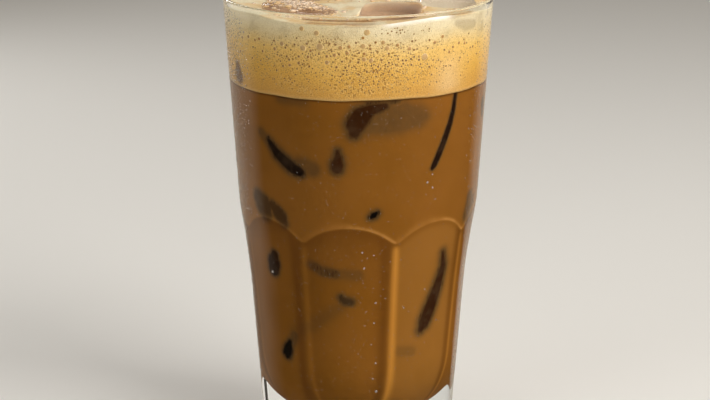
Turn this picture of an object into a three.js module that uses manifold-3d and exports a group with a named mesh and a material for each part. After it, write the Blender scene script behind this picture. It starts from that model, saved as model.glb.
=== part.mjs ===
// An iced coffee in its tall pressed-glass tumbler: the glass, the milky coffee that fills it,
// the deep cap of foam on the coffee and the ice cubes that stand up out of the foam.
// Millimetres, +Z up. The origin is the middle of the glass's foot, on the surface it stands on,
// and -Y is the front.
import * as THREE from "three";
import { mergeVertices } from "three/addons/utils/BufferGeometryUtils.js";
import { RoundedBoxGeometry } from "three/addons/geometries/RoundedBoxGeometry.js";
import Module from "manifold-3d";

// Driving dimensions of the glass
const GLASS_HEIGHT = 154;
const RIM_RADIUS = 44;
const LIP_THICKNESS = 1.3;
const BODY_TAPER = 0.0665; // how much the radius of the round body grows for each mm of height
const FOOT_RADIUS = 31;
const FOOT_ROUNDING = 2.2;
const BASE_THICKNESS = 15;
const INNER_FOOT_RADIUS = 30.75; // inner wall's radius at the top of its rounded bottom
const INNER_ROUNDING = 24;
const RECESS_RADIUS = 23; // the shallow dome pressed into the underside
const RECESS_DEPTH = 1.6;

// Driving dimensions of the eight panels pressed into the lower body
const PANEL_COUNT = 8;
const FIRST_RIB_DEGREES = 18.1; // from the front, towards +X
const PANEL_TAPER = 0.0756;
const SHOULDER_HEIGHT = 65.6; // where the straight panel turns out into its scooped top
const SHOULDER_TAPER = 0.177;
const SHOULDER_SOFTNESS = 0.35;
const RIB_HEIGHT_LOW = 1.35; // how far a rib stands out beyond the middle of a panel
const RIB_HEIGHT_HIGH = 0.68;
const RIB_FADE_HEIGHT = 80;
const RIB_FADE_LENGTH = 14;
const ARCH_POWER = 2.35; // 2 is a parabola, and more is flatter at the top

// Driving dimensions of the contents
const GAP = 0.3; // between each piece and its neighbour
const COFFEE_HEIGHT = 126.8;
const FOAM_TOP = 151;
const FOAM_LIFT_AT_WALL = 0.5;
const FOAM_LIFT_WIDTH = 3.5;

// Fineness of the round shapes
const ROUND_SIDES = 72;
const SIDES_PER_PANEL = 8;
const FOAM_SIDES = 60;
const FOAM_RINGS = 13;
const LIP_STEPS = 3; // in a quarter turn
const FOOT_STEPS = 4;
const INNER_ROUNDING_STEPS = 8;
const RECESS_STEPS = 5;
const ICE_ROUNDING_STEPS = 2;
const MERGE_DISTANCE = 1e-4;

// Heights of the rings that carry the scooped panels, and how far a cutting shape runs past
const SCOOP_TOP = 92;
const SCOOP_BOTTOM = 60;
const SCOOP_STEP = 2;
const LOWEST_RING = 30;
const CUT_CLEARANCE = 2;

const radians = THREE.MathUtils.degToRad;
const lipRadius = LIP_THICKNESS / 2;
const lipMiddleHeight = GLASS_HEIGHT - lipRadius;
const innerTaper =
  (RIM_RADIUS - LIP_THICKNESS - INNER_FOOT_RADIUS) /
  (lipMiddleHeight - BASE_THICKNESS - INNER_ROUNDING);

// Radius of the round outer body, and of the inner wall, at a height
function bodyRadius(z) {
  return RIM_RADIUS - BODY_TAPER * (lipMiddleHeight - z);
}

function innerRadius(z) {
  return RIM_RADIUS - LIP_THICKNESS - innerTaper * (lipMiddleHeight - z);
}

// Distance from the axis to the middle of a panel: a straight taper that turns out at the shoulder
function panelRadius(z) {
  const shoulderRadius = FOOT_RADIUS + PANEL_TAPER * SHOULDER_HEIGHT;
  const straight = FOOT_RADIUS + PANEL_TAPER * z;
  const scooped = shoulderRadius + SHOULDER_TAPER * (z - SHOULDER_HEIGHT);
  const difference = (scooped - straight) / SHOULDER_SOFTNESS;
  return straight + SHOULDER_SOFTNESS * Math.log1p(Math.exp(difference));
}

// A panel is a shallow crowned curve between two ribs. Under its arch the ribs are lower, which
// sets how tall the arch is, and the curve between them sets the arch's own shape.
function panelledRadius(angle, z) {
  const panelAngle = (2 * Math.PI) / PANEL_COUNT;
  const fromRib = THREE.MathUtils.euclideanModulo(
    angle - radians(FIRST_RIB_DEGREES),
    panelAngle,
  );
  const fromMiddle = fromRib - panelAngle / 2;
  const crowned = (1 / Math.cos(fromMiddle) - 1) / (1 / Math.cos(panelAngle / 2) - 1);
  const share = Math.abs(fromMiddle) / (panelAngle / 2);
  const arched = Math.pow(share, ARCH_POWER);
  const fade = THREE.MathUtils.smoothstep(
    RIB_FADE_HEIGHT - z,
    0,
    RIB_FADE_LENGTH,
  );
  const rise = THREE.MathUtils.lerp(
    RIB_HEIGHT_HIGH * arched,
    RIB_HEIGHT_LOW * crowned,
    fade,
  );
  return panelRadius(z) + rise;
}

// Points of an arc in a profile: x is the radius and y is the height
function arcPoints(x, y, radius, fromDegrees, toDegrees, steps) {
  const points = [];
  for (let i = 0; i <= steps; i++) {
    const angle = radians(THREE.MathUtils.lerp(fromDegrees, toDegrees, i / steps));
    points.push(
      new THREE.Vector2(x + radius * Math.cos(angle), y + radius * Math.sin(angle)),
    );
  }
  return points;
}

// The rounded bottom of the inner wall, moved inwards by an inset, from the wall to the floor
function innerBottomPoints(inset) {
  const wallDegrees = THREE.MathUtils.radToDeg(Math.atan(innerTaper));
  const centreRadius = INNER_FOOT_RADIUS - INNER_ROUNDING * Math.hypot(1, innerTaper);
  const centreHeight = BASE_THICKNESS + INNER_ROUNDING;
  const radius = INNER_ROUNDING - inset;
  const steps = INNER_ROUNDING_STEPS;
  return [
    ...arcPoints(centreRadius, centreHeight, radius, -wallDegrees, -90, steps),
    new THREE.Vector2(0, BASE_THICKNESS + inset),
  ];
}

// Solids: manifold-3d joins and cuts, three.js makes every shape
const wasm = await Module();
wasm.setup();

function solidOf(geometry) {
  const plain = geometry.clone();
  plain.deleteAttribute("normal");
  plain.deleteAttribute("uv");
  const merged = mergeVertices(plain, MERGE_DISTANCE);
  return new wasm.Manifold(
    new wasm.Mesh({
      numProp: 3,
      vertProperties: merged.attributes.position.array,
      triVerts: new Uint32Array(merged.index.array),
    }),
  );
}

function geometryOf(solid) {
  const mesh = solid.getMesh();
  const geometry = new THREE.BufferGeometry();
  const position = new THREE.BufferAttribute(new Float32Array(mesh.vertProperties), 3);
  geometry.setAttribute("position", position);
  geometry.setIndex(new THREE.BufferAttribute(new Uint32Array(mesh.triVerts), 1));
  geometry.computeVertexNormals();
  return geometry;
}

// A profile turned about the Z axis, given from its top point down to its bottom point
function turned(points, sides, firstAngle = 0) {
  const upwards = [...points].reverse();
  const geometry = new THREE.LatheGeometry(upwards, sides, firstAngle);
  geometry.rotateX(Math.PI / 2);
  return geometry;
}

// The round body: a tapered tumbler with a rounded foot and the outer half of the rounded lip
function roundBody() {
  const footHeight = FOOT_ROUNDING;
  const footSide = bodyRadius(footHeight);
  const lipCentre = RIM_RADIUS - lipRadius;
  const lip = arcPoints(lipCentre, lipMiddleHeight, lipRadius, 90, 0, LIP_STEPS);
  const profile = [
    new THREE.Vector2(0, GLASS_HEIGHT),
    ...lip,
    new THREE.Vector2(footSide, footHeight),
    new THREE.Vector2(footSide, 0),
    new THREE.Vector2(0, 0),
  ];
  return turned(profile, ROUND_SIDES);
}

// The panelled form that trims the round body: it is the narrower of the two below the shoulder
function panelledForm() {
  const levels = [GLASS_HEIGHT + CUT_CLEARANCE];
  for (let z = SCOOP_TOP; z >= SCOOP_BOTTOM; z -= SCOOP_STEP) levels.push(z);
  levels.push(LOWEST_RING);
  const footCentre = FOOT_RADIUS - FOOT_ROUNDING;
  const profile = [
    new THREE.Vector2(0, levels[0]),
    ...levels.map((z) => new THREE.Vector2(panelRadius(z), z)),
    ...arcPoints(footCentre, FOOT_ROUNDING, FOOT_ROUNDING, 0, -90, FOOT_STEPS),
    new THREE.Vector2(0, 0),
  ];
  const firstAngle = radians(FIRST_RIB_DEGREES);
  const form = turned(profile, PANEL_COUNT * SIDES_PER_PANEL, firstAngle);
  const position = form.attributes.position;
  for (let i = 0; i < position.count; i++) {
    const x = position.getX(i);
    const y = position.getY(i);
    const radius = Math.hypot(x, y);
    if (radius < footCentre - GAP) continue;
    const z = position.getZ(i);
    const scale = panelledRadius(Math.atan2(x, -y), z) / panelRadius(z);
    position.setXY(i, x * scale, y * scale);
  }
  return form;
}

// The hollow that the drink fills, with the inner half of the rounded lip
function hollow() {
  const lipCentre = RIM_RADIUS - lipRadius;
  const lip = arcPoints(lipCentre, lipMiddleHeight, lipRadius, 90, 180, LIP_STEPS);
  const mouth = new THREE.Vector2(lipCentre, GLASS_HEIGHT + CUT_CLEARANCE);
  return turned(
    [new THREE.Vector2(0, mouth.y), mouth, ...lip, ...innerBottomPoints(0)],
    ROUND_SIDES,
  );
}

// The dome pressed into the underside, which leaves a flat ring to stand on
function footRecess() {
  const profile = [new THREE.Vector2(0, RECESS_DEPTH)];
  for (let i = 1; i <= RECESS_STEPS; i++) {
    const share = i / RECESS_STEPS;
    const height = RECESS_DEPTH * (1 - share * share);
    profile.push(new THREE.Vector2(RECESS_RADIUS * share, height));
  }
  profile.push(new THREE.Vector2(RECESS_RADIUS, -CUT_CLEARANCE));
  profile.push(new THREE.Vector2(0, -CUT_CLEARANCE));
  return turned(profile, ROUND_SIDES / 2);
}

function glassSolid() {
  const outer = solidOf(roundBody()).intersect(solidOf(panelledForm()));
  return outer.subtract(solidOf(hollow())).subtract(solidOf(footRecess()));
}

// Ice: cubes with melted edges, each given by its middle, its size and its turn in degrees
const ICE = [
  { name: "ice_front", at: [10.5, -21.5, 141.2], size: [20.5, 22, 24], turn: [5, -3, -8] },
  { name: "ice_left", at: [-19.5, -14.5, 141], size: [21, 20, 24], turn: [-4, 6, 34] },
  { name: "ice_right", at: [27.2, 3.4, 141.6], size: [20, 22, 25], turn: [3, 5, 8] },
  { name: "ice_back", at: [3.5, 26, 140.2], size: [22, 21, 24], turn: [-6, 4, -12] },
  { name: "ice_back_left", at: [-23, 13, 140], size: [20, 21, 23], turn: [5, 4, 24] },
];
const ICE_ROUNDING = 3.6;

function iceGeometry(size, grown) {
  const [width, depth, height] = size.map((side) => side + 2 * grown);
  const rounding = ICE_ROUNDING + grown;
  return new RoundedBoxGeometry(width, depth, height, ICE_ROUNDING_STEPS, rounding);
}

function icePlace(cube) {
  const turn = new THREE.Euler(...cube.turn.map(radians));
  return new THREE.Matrix4().compose(
    new THREE.Vector3(...cube.at),
    new THREE.Quaternion().setFromEuler(turn),
    new THREE.Vector3(1, 1, 1),
  );
}

// The room that the cubes take in the drink, with the gap all round them
function iceRoom() {
  const rooms = ICE.map((cube) =>
    solidOf(iceGeometry(cube.size, GAP).applyMatrix4(icePlace(cube))),
  );
  return rooms.reduce((all, room) => all.add(room));
}

// The milky coffee, from the rounded bottom up to the foam
function coffeeSolid() {
  const wallRadius = innerRadius(COFFEE_HEIGHT) - GAP;
  const profile = [
    new THREE.Vector2(0, COFFEE_HEIGHT),
    new THREE.Vector2(wallRadius, COFFEE_HEIGHT),
    ...innerBottomPoints(GAP),
  ];
  return solidOf(turned(profile, ROUND_SIDES)).subtract(iceRoom());
}

// Height of the foam's top: it climbs a little at the glass and lies in soft swells
const SWELLS = [
  { along: [0.11, 0.05], phase: 0.4, height: 0.35 },
  { along: [-0.07, 0.13], phase: 1.9, height: 0.3 },
  { along: [0.21, -0.17], phase: 3.1, height: 0.18 },
  { along: [0.05, 0.31], phase: 5.2, height: 0.12 },
];

function foamHeight(x, y) {
  const toWall = innerRadius(FOAM_TOP) - Math.hypot(x, y);
  let height = FOAM_TOP + FOAM_LIFT_AT_WALL * Math.exp(-toWall / FOAM_LIFT_WIDTH);
  for (const swell of SWELLS) {
    const phase = swell.along[0] * x + swell.along[1] * y + swell.phase;
    height += swell.height * Math.sin(phase);
  }
  return height;
}

function foamSolid() {
  const bottom = COFFEE_HEIGHT + GAP;
  const topRadius = innerRadius(FOAM_TOP) - GAP;
  const profile = [];
  for (let i = 0; i <= FOAM_RINGS; i++) {
    profile.push(new THREE.Vector2((topRadius * i) / FOAM_RINGS, FOAM_TOP));
  }
  profile.push(new THREE.Vector2(innerRadius(bottom) - GAP, bottom));
  profile.push(new THREE.Vector2(0, bottom));
  const foam = turned(profile, FOAM_SIDES);
  const position = foam.attributes.position;
  for (let i = 0; i < position.count; i++) {
    if (position.getZ(i) < FOAM_TOP) continue;
    position.setZ(i, foamHeight(position.getX(i), position.getY(i)));
  }
  return solidOf(foam).subtract(iceRoom());
}

// Materials
const glassMaterial = new THREE.MeshStandardMaterial({
  color: 0xe9eef0,
  roughness: 0.04,
  metalness: 0,
  transparent: true,
  opacity: 0.3,
});
const coffeeMaterial = new THREE.MeshStandardMaterial({
  color: 0x8b5a23,
  roughness: 0.2,
  metalness: 0,
});
const foamMaterial = new THREE.MeshStandardMaterial({
  color: 0xd9b27c,
  roughness: 0.65,
  metalness: 0,
});
const iceMaterial = new THREE.MeshStandardMaterial({
  color: 0xcfc4ba,
  roughness: 0.08,
  metalness: 0,
  transparent: true,
  opacity: 0.55,
});

// The drink as a whole
const icedCoffee = new THREE.Group();

function addPiece(name, geometry, material) {
  const piece = new THREE.Mesh(geometry, material);
  piece.name = name;
  icedCoffee.add(piece);
  return piece;
}

addPiece("glass", geometryOf(glassSolid()), glassMaterial);
addPiece("coffee", geometryOf(coffeeSolid()), coffeeMaterial);
addPiece("foam", geometryOf(foamSolid()), foamMaterial);
for (const cube of ICE) {
  const piece = addPiece(cube.name, iceGeometry(cube.size, 0), iceMaterial);
  piece.position.set(...cube.at);
  piece.rotation.set(...cube.turn.map(radians));
}

export default icedCoffee;
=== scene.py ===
# %% [markdown]
# This lesson dresses an iced coffee: a tall pressed-glass tumbler, milky coffee, a deep foam cap
# and ice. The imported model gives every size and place, and it stays where it is. The fine pieces
# made here stand for its plain solids one by one, so nothing has to be fitted afterwards.

# %% Load the frame and keep its box
import math

import bpy
import numpy as np
from mathutils import Matrix, Vector


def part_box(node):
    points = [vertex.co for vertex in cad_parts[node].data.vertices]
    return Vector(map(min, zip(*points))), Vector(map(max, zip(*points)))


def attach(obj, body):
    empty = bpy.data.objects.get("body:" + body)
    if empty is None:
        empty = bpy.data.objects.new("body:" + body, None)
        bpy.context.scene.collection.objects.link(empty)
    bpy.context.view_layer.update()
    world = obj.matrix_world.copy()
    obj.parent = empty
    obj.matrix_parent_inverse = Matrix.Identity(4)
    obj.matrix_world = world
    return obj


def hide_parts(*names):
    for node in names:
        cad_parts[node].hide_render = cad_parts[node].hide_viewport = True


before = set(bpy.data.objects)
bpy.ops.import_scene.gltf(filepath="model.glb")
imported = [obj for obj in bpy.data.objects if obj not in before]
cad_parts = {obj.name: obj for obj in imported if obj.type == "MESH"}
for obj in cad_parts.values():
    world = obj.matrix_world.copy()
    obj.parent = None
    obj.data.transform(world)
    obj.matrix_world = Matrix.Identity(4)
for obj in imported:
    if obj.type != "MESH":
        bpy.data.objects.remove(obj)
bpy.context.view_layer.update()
print("packed nodes:", sorted(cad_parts))

# %% [markdown]
# Lengths are thought of in millimetres, as a glassmaker would, and Blender works in metres. The
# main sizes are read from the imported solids, and the tapers and roundings repeat the model's own.

# %% Sizes of the glass and its contents, in millimetres
MM = 0.001


def node_box(node):
    low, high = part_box(node)
    return np.array(low) / MM, np.array(high) / MM


GLASS_HEIGHT = node_box("glass")[1][2]
RIM_RADIUS = node_box("glass")[1][0]
COFFEE_LEVEL = node_box("coffee")[1][2]
FOAM_LEVEL = node_box("foam")[0][2]
FOAM_TOP = 151.0
LIP_THICKNESS = 1.3
LIP_ROUNDING = LIP_THICKNESS / 2
LIP_MIDDLE = GLASS_HEIGHT - LIP_ROUNDING
BODY_TAPER = 0.0665
FOOT_RADIUS = 31.0
FOOT_ROUNDING = 2.2
BASE_THICKNESS = 15.0
INNER_FOOT_RADIUS = 30.75
INNER_ROUNDING = 24.0
RECESS_RADIUS = 23.0
RECESS_DEPTH = 1.6
INNER_TAPER = (RIM_RADIUS - LIP_THICKNESS - INNER_FOOT_RADIUS) / (
    LIP_MIDDLE - BASE_THICKNESS - INNER_ROUNDING
)
print(f"glass {GLASS_HEIGHT:.1f} mm tall, rim radius {RIM_RADIUS:.1f} mm, coffee to {COFFEE_LEVEL:.1f} mm")

# %% [markdown]
# The outside of the tumbler is a round cone, and eight shallow panels are pressed into its lower
# part. Each panel starts in a scooped arch and has a faint crown, so neighbours meet in a rib. A
# formula for the radius at an angle and a height says all this at once. Its soft minimum rounds
# the crease where a panel leaves the cone, which is what makes the arch catch the light.

# %% The outer form as a formula
PANEL_COUNT = 8
PANEL_ANGLE = 2 * math.pi / PANEL_COUNT
FIRST_RIB = math.radians(18.1)
PANEL_TAPER = 0.0756
SHOULDER_HEIGHT = 65.6
SHOULDER_TAPER = 0.177
SHOULDER_SOFTNESS = 0.35
RIB_HEIGHT_LOW = 1.35
RIB_HEIGHT_HIGH = 0.68
RIB_FADE_HEIGHT = 80.0
RIB_FADE_LENGTH = 14.0
ARCH_POWER = 2.35
RIB_ROUNDING = 1.1
ARCH_ROUNDING = 0.9
CREASE_SOFTNESS = 0.1
ROUNDING_OFFSET = 0.35
SAFE_EXPONENT = 60


def body_radius(z):
    return RIM_RADIUS - BODY_TAPER * (LIP_MIDDLE - z)


def inner_radius(z):
    return RIM_RADIUS - LIP_THICKNESS - INNER_TAPER * (LIP_MIDDLE - z)


def panel_radius(z):
    straight = FOOT_RADIUS + PANEL_TAPER * z
    shoulder_radius = FOOT_RADIUS + PANEL_TAPER * SHOULDER_HEIGHT
    scooped = shoulder_radius + SHOULDER_TAPER * (z - SHOULDER_HEIGHT)
    return straight + SHOULDER_SOFTNESS * np.log1p(np.exp((scooped - straight) / SHOULDER_SOFTNESS))


def smooth_step(t):
    t = np.clip(t, 0.0, 1.0)
    return t * t * (3 - 2 * t)


def bell(distance, width):
    """1 at no distance, and falling away over a width on both sides"""
    return np.exp(-((distance / width) ** 2))


def within(value, low, high, softness):
    """1 between two limits, 0 outside them, with soft ends inside"""
    return smooth_step((value - low) / softness) * smooth_step((high - value) / softness)


def rounded(distance, rounding):
    """A distance whose sharp turn at 0 is rounded off"""
    return np.sqrt(distance**2 + rounding**2) - ROUNDING_OFFSET * rounding


def panelled_radius(angle, z):
    from_middle = np.abs(np.mod(angle - FIRST_RIB, PANEL_ANGLE) - PANEL_ANGLE / 2)
    radius = panel_radius(z)
    from_rib = (PANEL_ANGLE / 2 - from_middle) * radius
    crown = np.clip(PANEL_ANGLE / 2 - rounded(from_rib, RIB_ROUNDING) / radius, 0.0, PANEL_ANGLE / 2)
    crowned = (1 / np.cos(crown) - 1) / (1 / math.cos(PANEL_ANGLE / 2) - 1)
    from_point = rounded(from_rib, ARCH_ROUNDING) / (radius * PANEL_ANGLE / 2)
    arched = np.clip(1 - from_point, 0, 1) ** ARCH_POWER
    fade = smooth_step((RIB_FADE_HEIGHT - z) / RIB_FADE_LENGTH)
    return radius + RIB_HEIGHT_HIGH * arched * (1 - fade) + RIB_HEIGHT_LOW * crowned * fade


def outer_radius(angle, z):
    cone = body_radius(z)
    difference = (panelled_radius(angle, z) - cone) / CREASE_SOFTNESS
    return cone - CREASE_SOFTNESS * np.log1p(np.exp(np.clip(-difference, -SAFE_EXPONENT, SAFE_EXPONENT)))


print(f"rib radius at half height {outer_radius(FIRST_RIB, 70.0):.2f} mm")

# %% [markdown]
# Round pieces are turned. On the real thing a press or a pour makes them round, and here a profile
# is drawn with extruded points and spun once about the upright axis. The same helper serves the
# glass, the coffee and the foam, so their walls stay parallel.

# %% Turn a profile about the upright axis
MERGE_DISTANCE = 2e-6


def deselect_all():
    if bpy.context.mode != "OBJECT":
        bpy.ops.object.mode_set(mode="OBJECT")
    bpy.ops.object.select_all(action="DESELECT")


def turned(name, profile, steps):
    deselect_all()
    bpy.ops.mesh.primitive_plane_add(size=MM)
    piece = bpy.context.object
    piece.name = piece.data.name = name
    bpy.ops.object.mode_set(mode="EDIT")
    bpy.ops.mesh.select_all(action="SELECT")
    bpy.ops.mesh.merge(type="CENTER")
    points = [Vector((0, -radius * MM, height * MM)) for radius, height in profile]
    bpy.ops.transform.translate(value=points[0])
    for before, after in zip(points, points[1:]):
        bpy.ops.mesh.extrude_region_move(TRANSFORM_OT_translate={"value": after - before})
    bpy.ops.mesh.select_all(action="SELECT")
    bpy.ops.mesh.spin(steps=steps, angle=2 * math.pi, center=(0, 0, 0), axis=(0, 0, 1))
    bpy.ops.mesh.select_all(action="SELECT")
    bpy.ops.mesh.remove_doubles(threshold=MERGE_DISTANCE)
    bpy.ops.mesh.normals_make_consistent(inside=False)
    bpy.ops.object.mode_set(mode="OBJECT")
    bpy.ops.object.shade_smooth()
    return piece


def arc(x, y, radius, start, stop, steps):
    angles = np.radians(np.linspace(start, stop, steps + 1))
    return [(x + radius * math.cos(a), y + radius * math.sin(a)) for a in angles]


def read_points(piece):
    points = np.empty(len(piece.data.vertices) * 3)
    piece.data.vertices.foreach_get("co", points)
    return points.reshape(-1, 3) / MM


def write_points(piece, points):
    piece.data.vertices.foreach_set("co", (points * MM).ravel())
    piece.data.update()


def keep_numbers(piece, **numbers):
    """Keeps numbers for each point, which a finish can read by their names"""
    for name, values in numbers.items():
        attribute = piece.data.attributes.new(name, "FLOAT", "POINT")
        attribute.data.foreach_set("value", values.astype(np.float32))


def angle_of(points):
    return np.arctan2(points[:, 0], -points[:, 1])


def radius_of(points):
    return np.hypot(points[:, 0], points[:, 1])


# %% [markdown]
# Shader maths is easier to read as plain expressions. A small class wraps a socket, and its
# operators add Math nodes. Another keeps one material's node tree and adds any other node by its
# type, its settings and its inputs.

# %% A socket that arithmetic works on
class Wire:
    """A socket of a material, which ordinary arithmetic works on."""

    def __init__(self, finish, socket):
        self.finish = finish
        self.socket = socket

    def math(self, operation, *values):
        return self.finish.node("ShaderNodeMath", {"operation": operation}, dict(enumerate(values)))

    def __add__(self, other):
        return self.math("ADD", self, other)

    __radd__ = __add__

    def __sub__(self, other):
        return self.math("SUBTRACT", self, other)

    def __rsub__(self, other):
        return self.math("SUBTRACT", other, self)

    def __mul__(self, other):
        return self.math("MULTIPLY", self, other)

    __rmul__ = __mul__

    def __truediv__(self, other):
        return self.math("DIVIDE", self, other)

    def __pow__(self, other):
        return self.math("POWER", self, other)

    def above(self, low, high):
        """0 below low, 1 above high and a smooth ramp between"""
        inputs = {"Value": self, "From Min": low, "From Max": high}
        return self.finish.node("ShaderNodeMapRange", {"interpolation_type": "SMOOTHSTEP"}, inputs)


# %% A finish, built from such sockets
class Finish:
    """One material, with its node tree."""

    def __init__(self, name):
        self.material = bpy.data.materials.new(name)
        self.material.use_nodes = True
        self.tree = self.material.node_tree
        self.tree.nodes.clear()
        self.place = self.node("ShaderNodeTexCoord", {}, {}, "Object")

    def node(self, kind, settings, inputs, output=0):
        node = self.tree.nodes.new(kind)
        for name, value in settings.items():
            if name == "stops":
                self.set_stops(node, value)
            else:
                setattr(node, name, value)
        for name, value in inputs.items():
            self.feed(node.inputs[name], value)
        return Wire(self, node.outputs[output])

    def set_stops(self, node, stops):
        elements = node.color_ramp.elements
        while len(elements) < len(stops):
            elements.new(0.5)
        for element, (position, colour) in zip(elements, stops):
            element.position = position
            element.color = (*colour, 1.0)

    def feed(self, socket, value):
        if isinstance(value, Wire):
            self.tree.links.new(value.socket, socket)
        else:
            socket.default_value = (*value, 1.0) if socket.type == "RGBA" else value

    def ramp(self, factor, stops):
        return self.node("ShaderNodeValToRGB", {"stops": stops}, {"Fac": factor}, "Color")

    def mix(self, factor, first, second):
        inputs = {0: factor, 6: first, 7: second}
        return self.node("ShaderNodeMix", {"data_type": "RGBA"}, inputs, 2)

    def tinted(self, colour, *tints):
        """A colour under tints laid over it in turn, each a strength and a colour as seen on a screen"""
        for strength, tint in tints:
            colour = self.mix(strength, colour, linear(*tint))
        return colour

    def noise(self, scale, detail=2.0, roughness=0.5, place=None):
        inputs = {"Vector": place or self.place, "Scale": scale, "Detail": detail, "Roughness": roughness}
        return self.node("ShaderNodeTexNoise", {}, inputs, "Fac")

    def cells(self, scale, output="Distance"):
        return self.node("ShaderNodeTexVoronoi", {}, {"Vector": self.place, "Scale": scale}, output)

    def attribute(self, name):
        return self.node("ShaderNodeAttribute", {"attribute_name": name}, {}, "Fac")

    def bump(self, height, strength, distance):
        inputs = {"Height": height, "Strength": strength, "Distance": distance}
        return self.node("ShaderNodeBump", {}, inputs)

    def surface(self, **inputs):
        """Ends the tree in a Principled surface, with spaces for the underscores in the names"""
        named = {name.replace("_", " "): value for name, value in inputs.items()}
        shader = self.node("ShaderNodeBsdfPrincipled", {}, named)
        output = self.tree.nodes.new("ShaderNodeOutputMaterial")
        self.tree.links.new(shader.socket, output.inputs["Surface"])
        return self.material


def linear(red, green, blue):
    """A colour as seen on a screen, 0 to 255, as the linear light that shaders use"""
    shares = np.array([red, green, blue]) / 255
    light = np.where(shares > 0.04045, ((shares + 0.055) / 1.055) ** 2.4, shares / 12.92)
    return tuple(float(channel) for channel in light)


# %% [markdown]
# The camera stands a little above the rim and looks slightly down, close enough that the foot
# falls below the picture's edge. Its lens and place come from the rim's width and roundness.

# %% Camera
CAMERA_DISTANCE = 700.0
CAMERA_HEIGHT = 271.6
CAMERA_PITCH = math.radians(14.99)
PICTURE_WIDTH = 710
FOCAL_PIXELS = 2171.0
AXIS_PIXEL = 358.2
SENSOR_WIDTH = 36.0


def add_camera():
    data = bpy.data.cameras.new("camera")
    data.sensor_width = SENSOR_WIDTH
    data.lens = FOCAL_PIXELS * SENSOR_WIDTH / PICTURE_WIDTH
    data.shift_x = (PICTURE_WIDTH / 2 - AXIS_PIXEL) / PICTURE_WIDTH
    data.clip_start = 0.01
    camera = bpy.data.objects.new("camera", data)
    bpy.context.collection.objects.link(camera)
    camera.location = Vector((0, -CAMERA_DISTANCE, CAMERA_HEIGHT)) * MM
    camera.rotation_euler = (math.pi / 2 - CAMERA_PITCH, 0, 0)
    bpy.context.scene.camera = camera
    return camera


camera = add_camera()
print(f"lens {camera.data.lens:.1f} mm")

# %% [markdown]
# The light is a plain soft studio. A wide panel lights from the right, a weaker one from the left
# and one from above. All stand high, where the upright wall of a glass never mirrors them, so only
# the lip, the ice and the water drops sparkle. The wall itself mirrors a bright backdrop behind it
# and a dim room in front, and the floor is hidden from mirrored rays, which keeps a dark drink
# deep in colour. The panels are hidden from rays that pass through glass, because the thick foot
# would show them as hard white patches.

# %% Light, room and floor
BACKDROP_SIDE = (-0.244, 1.0, 0.0)
BACKDROP_START = 0.40
BACKDROP_FULL = 0.62
ROOM_DIM = (0.035, 0.028, 0.018)
ROOM_BRIGHT = (0.50, 0.44, 0.36)
LIGHT_TARGET = Vector((0, 0, 0.09))


def add_panel(name, place, size, power, warmth=(1.0, 1.0, 1.0)):
    data = bpy.data.lights.new(name, "AREA")
    data.shape = "RECTANGLE"
    data.size, data.size_y = size
    data.energy = power
    data.color = warmth
    panel = bpy.data.objects.new(name, data)
    bpy.context.collection.objects.link(panel)
    panel.location = place
    panel.visible_transmission = False
    panel.rotation_euler = (LIGHT_TARGET - Vector(place)).to_track_quat("-Z", "Y").to_euler()


def add_room():
    world = bpy.data.worlds.new("room")
    world.use_nodes = True
    tree = world.node_tree
    direction = tree.nodes.new("ShaderNodeTexCoord")
    towards = tree.nodes.new("ShaderNodeVectorMath")
    towards.operation = "DOT_PRODUCT"
    towards.inputs[1].default_value = BACKDROP_SIDE
    ramp = tree.nodes.new("ShaderNodeValToRGB")
    for element, position, colour in zip(
        ramp.color_ramp.elements, (BACKDROP_START, BACKDROP_FULL), (ROOM_DIM, ROOM_BRIGHT)
    ):
        element.position = position
        element.color = (*colour, 1)
    background = tree.nodes["Background"]
    tree.links.new(direction.outputs["Generated"], towards.inputs[0])
    tree.links.new(towards.outputs["Value"], ramp.inputs[0])
    tree.links.new(ramp.outputs[0], background.inputs["Color"])
    bpy.context.scene.world = world


def add_floor():
    deselect_all()
    bpy.ops.mesh.primitive_plane_add(size=8.0)
    floor = bpy.context.object
    floor.name = "floor"
    finish = Finish("pale floor")
    floor.data.materials.append(finish.surface(Base_Color=linear(236, 234, 229), Roughness=0.85))
    floor.visible_glossy = False


add_panel("key panel", (0.8, -0.62, 0.62), (0.7, 0.9), 11.5, (1.0, 0.97, 0.93))
add_panel("fill panel", (-0.85, -0.75, 0.45), (0.7, 0.8), 3.4)
add_panel("top panel", (0.1, 0.15, 1.1), (0.8, 0.8), 4.6)
add_panel("edge strip", (-0.45, 0.62, 0.35), (0.06, 0.6), 0.8)
add_room()
add_floor()
bpy.context.scene.view_settings.view_transform = "Standard"

# %% [markdown]
# The tumbler is one shell. Its profile runs from the dome under the foot, up the outside, over the
# rounded lip and down the inside to the floor. It is turned as a round body first, and then each
# outside point is moved in to the panelled form. No edit operator presses scooped panels, so the
# formula does it, which keeps every panel alike.

# %% Glass
GLASS_STEPS = PANEL_COUNT * 40
ARCHES_FROM = 60.0
ARCHES_TO = 92.0
LIP_START = 149.0
FINE_STEP = 0.3
HAIR = 0.01


def heights(low, high, step):
    return list(np.linspace(low, high, max(2, round((high - low) / step) + 1)))


def inner_bottom(inset, steps):
    """The rounded bottom of the hollow, moved in by an inset, from the wall to the floor's middle"""
    wall_angle = math.degrees(math.atan(INNER_TAPER))
    centre_radius = INNER_FOOT_RADIUS - INNER_ROUNDING * math.hypot(1, INNER_TAPER)
    centre_height = BASE_THICKNESS + INNER_ROUNDING
    rounding = arc(centre_radius, centre_height, INNER_ROUNDING - inset, -wall_angle, -90, steps)
    return rounding + [(centre_radius / 2, BASE_THICKNESS + inset), (0, BASE_THICKNESS + inset)]


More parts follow.
